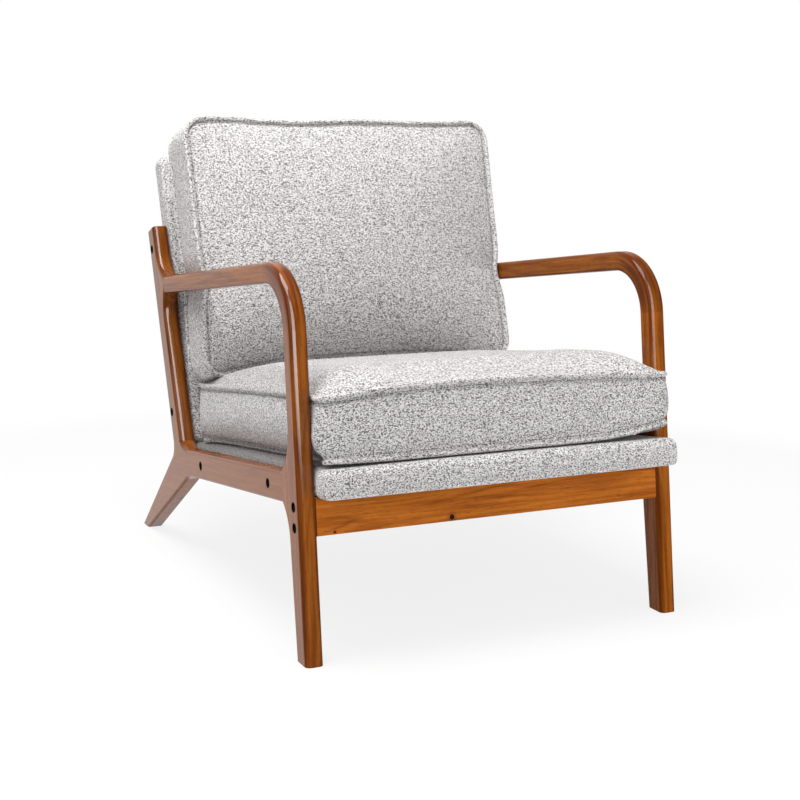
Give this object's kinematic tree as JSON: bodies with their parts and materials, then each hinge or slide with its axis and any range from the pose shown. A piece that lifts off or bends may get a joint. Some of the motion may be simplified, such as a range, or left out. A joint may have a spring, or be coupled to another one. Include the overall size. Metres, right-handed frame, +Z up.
{
  "type": "accent chair",
  "caption": "Lounge armchair with a raked solid-wood frame, bent armrests, an upholstered seat platform and back panel, and loose piped seat and back cushions.",
  "frame": {"origin": "on the floor under the middle of the chair's box", "axes": "+X to the viewer's right when facing the seat, +Y towards the back, +Z up; the seat faces -Y"},
  "size_m": [0.68, 0.916, 0.8197],
  "materials": {
    "stained_wood": "walnut-stained solid wood under semi-gloss lacquer",
    "hidden_wood": "bare sawn wood",
    "upholstery": "light grey boucle weave with dark flecks",
    "piping": "the same boucle sewn over a cord",
    "filling": "open-cell foam",
    "webbing": "woven elastic strap",
    "dust_cover": "thin bonded cloth",
    "black_steel": "black oxide",
    "plated_steel": "zinc plate"
  },
  "bodies": {
    "frame": {"armrest_left": "stained_wood", "armrest_right": "stained_wood", "back_post_left": "stained_wood", "back_post_right": "stained_wood", "barrel_nuts": "plated_steel", "deck_cover": "upholstery", "deck_dust_cover": "dust_cover", "deck_foam": "filling", "deck_frame_back": "hidden_wood", "deck_frame_front": "hidden_wood", "deck_frame_left": "hidden_wood", "deck_frame_right": "hidden_wood", "deck_webbing": "webbing", "dowels": "hidden_wood", "front_leg_left": "stained_wood", "front_leg_right": "stained_wood", "front_rail": "stained_wood", "front_rail_bolts": "black_steel", "panel_cover": "upholstery", "panel_foam": "filling", "panel_rail_bottom": "hidden_wood", "panel_rail_top": "hidden_wood", "panel_stile_left": "hidden_wood", "panel_stile_right": "hidden_wood", "panel_webbing": "webbing", "side_bolts": "black_steel", "side_rail_left": "stained_wood", "side_rail_right": "stained_wood", "threaded_inserts": "plated_steel", "washers": "plated_steel"},
    "seat_cushion": {"seat_cushion_cover": "upholstery", "seat_cushion_core": "filling", "seat_piping_bottom": "piping", "seat_piping_top": "piping"},
    "back_cushion": {"back_cushion_cover": "upholstery", "back_cushion_core": "filling", "back_piping_front": "piping", "back_piping_rear": "piping"}
  },
  "joints": [
    {"name": "seat_cushion_slide", "type": "slide", "parent": "frame", "child": "seat_cushion", "axis": [0, -0.9903, 0.1392], "range_m": [0, 0.25]},
    {"name": "back_cushion_lift", "type": "slide", "parent": "frame", "child": "back_cushion", "axis": [0, 0.3681, 0.9298], "range_m": [0, 0.2]}
  ]
}
